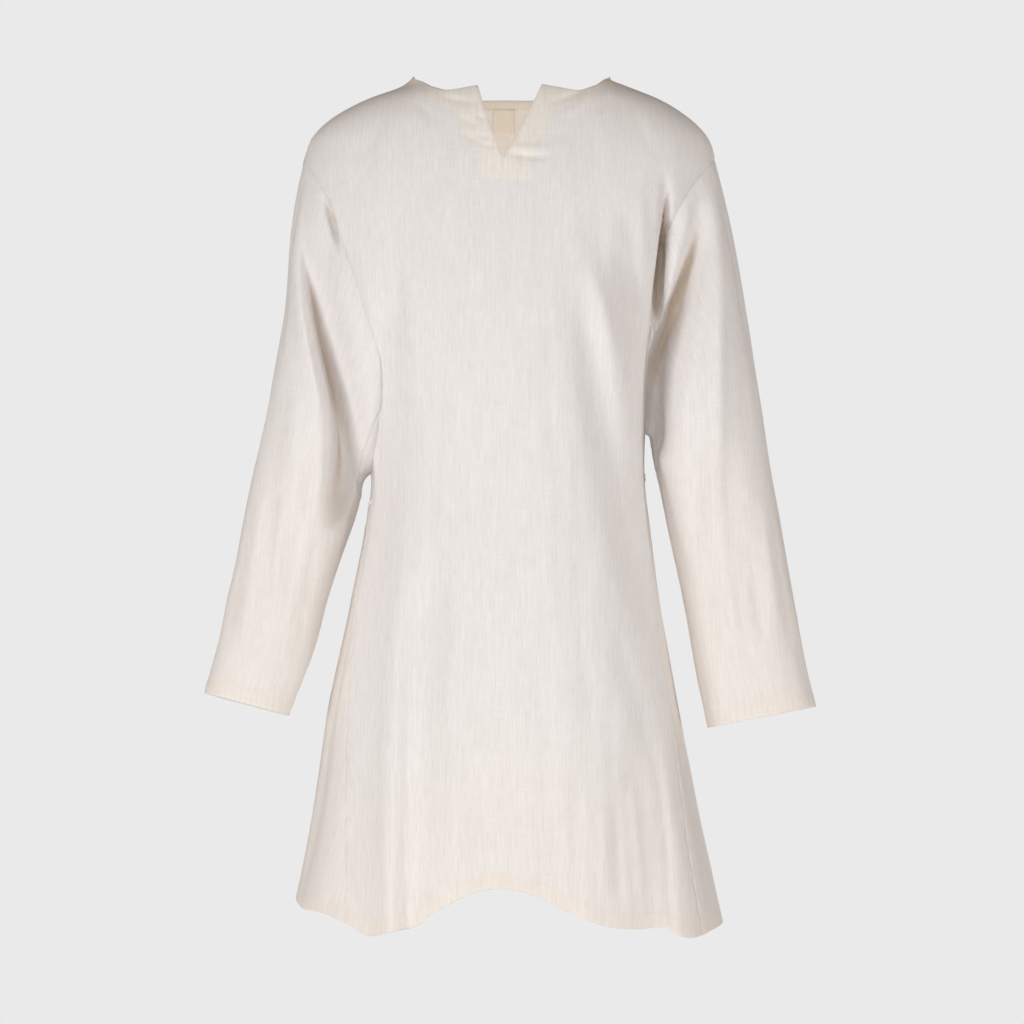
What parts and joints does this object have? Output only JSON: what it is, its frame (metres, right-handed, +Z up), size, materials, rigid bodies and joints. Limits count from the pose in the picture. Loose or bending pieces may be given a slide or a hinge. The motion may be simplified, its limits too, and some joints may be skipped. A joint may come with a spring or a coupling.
{
  "type": "viking tunic",
  "caption": "Long-sleeved historic tunic of natural linen, knee length, with a slit neck, underarm gussets and flared side gores, filled out hollow as if worn.",
  "frame": {"origin": "midway between the two points where the shoulder seams meet the neck, where the wearer's shoulders carry the tunic", "axes": "+Z up along the tunic's length, the front faces -Y, and the wearer's left is at +X"},
  "size_m": [0.7449, 0.3225, 1.0477],
  "materials": {
    "linen": "matte natural linen",
    "facing_linen": "matte natural linen",
    "label_tape": "plain woven tape, blank"
  },
  "bodies": {
    "root": {"tunic_front": "linen", "tunic_back": "linen", "sleeve_right": "linen", "sleeve_left": "linen", "gusset_right": "linen", "gusset_left": "linen", "gore_right": "linen", "gore_left": "linen", "neck_facing_front": "facing_linen", "neck_facing_back": "facing_linen", "neck_label": "label_tape"}
  },
  "joints": []
}
